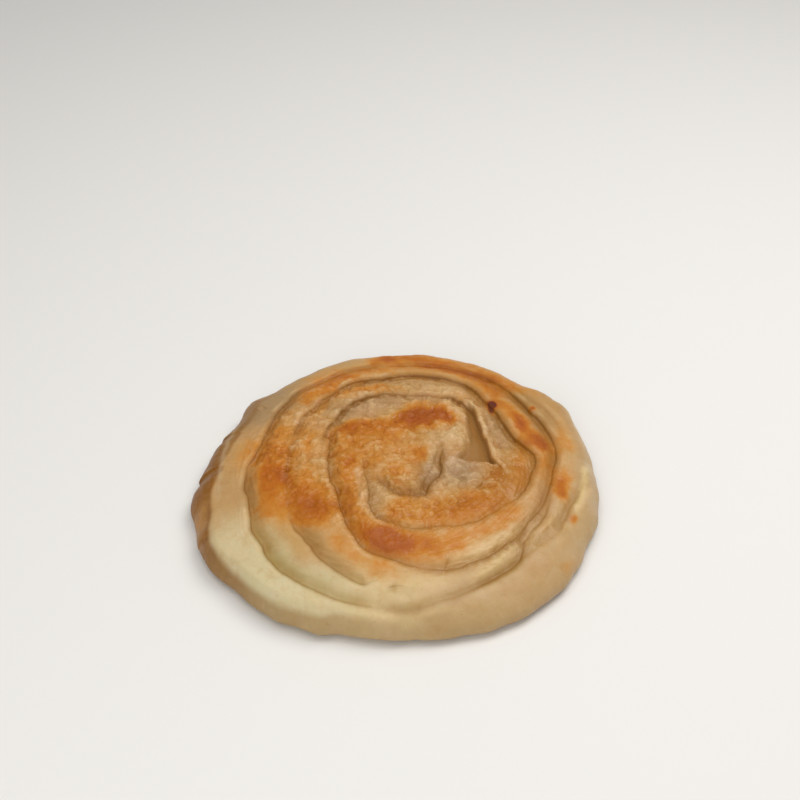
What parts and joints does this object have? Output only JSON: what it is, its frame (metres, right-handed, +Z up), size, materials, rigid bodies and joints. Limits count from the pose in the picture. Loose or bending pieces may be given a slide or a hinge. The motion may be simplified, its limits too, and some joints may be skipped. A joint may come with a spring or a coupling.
{
  "type": "parotta",
  "caption": "Round coiled flatbread with a low domed, spiral-seamed, griddle-browned top and a flat underside it rests on.",
  "frame": {"origin": "on the surface the bread rests on, at the middle of its outline's box", "axes": "+Z up out of the top of the dome; -Y towards the side with the broad plain outer turn; +X to the right seen from there"},
  "size_m": [0.1872, 0.1862, 0.026],
  "materials": {
    "griddled_crust": "satin"
  },
  "bodies": {
    "root": {"parotta": "griddled_crust"}
  },
  "joints": []
}
